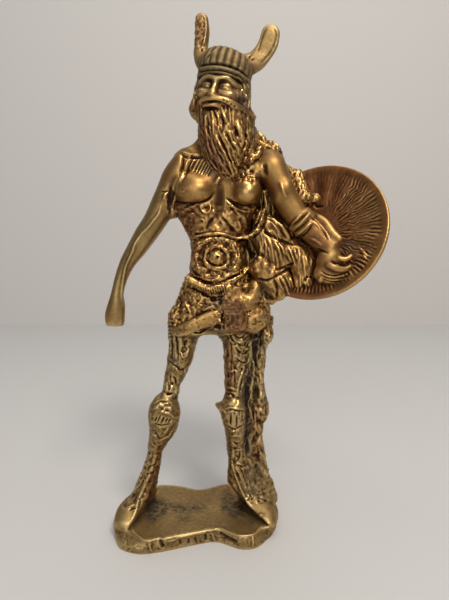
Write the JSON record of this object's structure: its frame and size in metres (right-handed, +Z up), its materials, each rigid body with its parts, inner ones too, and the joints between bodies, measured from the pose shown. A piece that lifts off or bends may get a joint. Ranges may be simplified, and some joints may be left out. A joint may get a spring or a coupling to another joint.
{
  "type": "brass figurine",
  "caption": "Cast brass figurine of a standing bearded viking in a horned helmet, hide kilt and pelt, with a round shield on the left arm, on a low waisted base.",
  "frame": {"origin": "middle of the base's flat underside, on the surface that the figurine stands on", "axes": "+Z up along the standing figure, -Y the way the figure faces, +X towards the figure's left arm and its shield"},
  "size_m": [0.1322, 0.0535, 0.2507],
  "materials": {
    "brass": "polished high spots over a dark brown patina in the hollows"
  },
  "bodies": {
    "root": {"viking_statuette": "brass"}
  },
  "joints": []
}
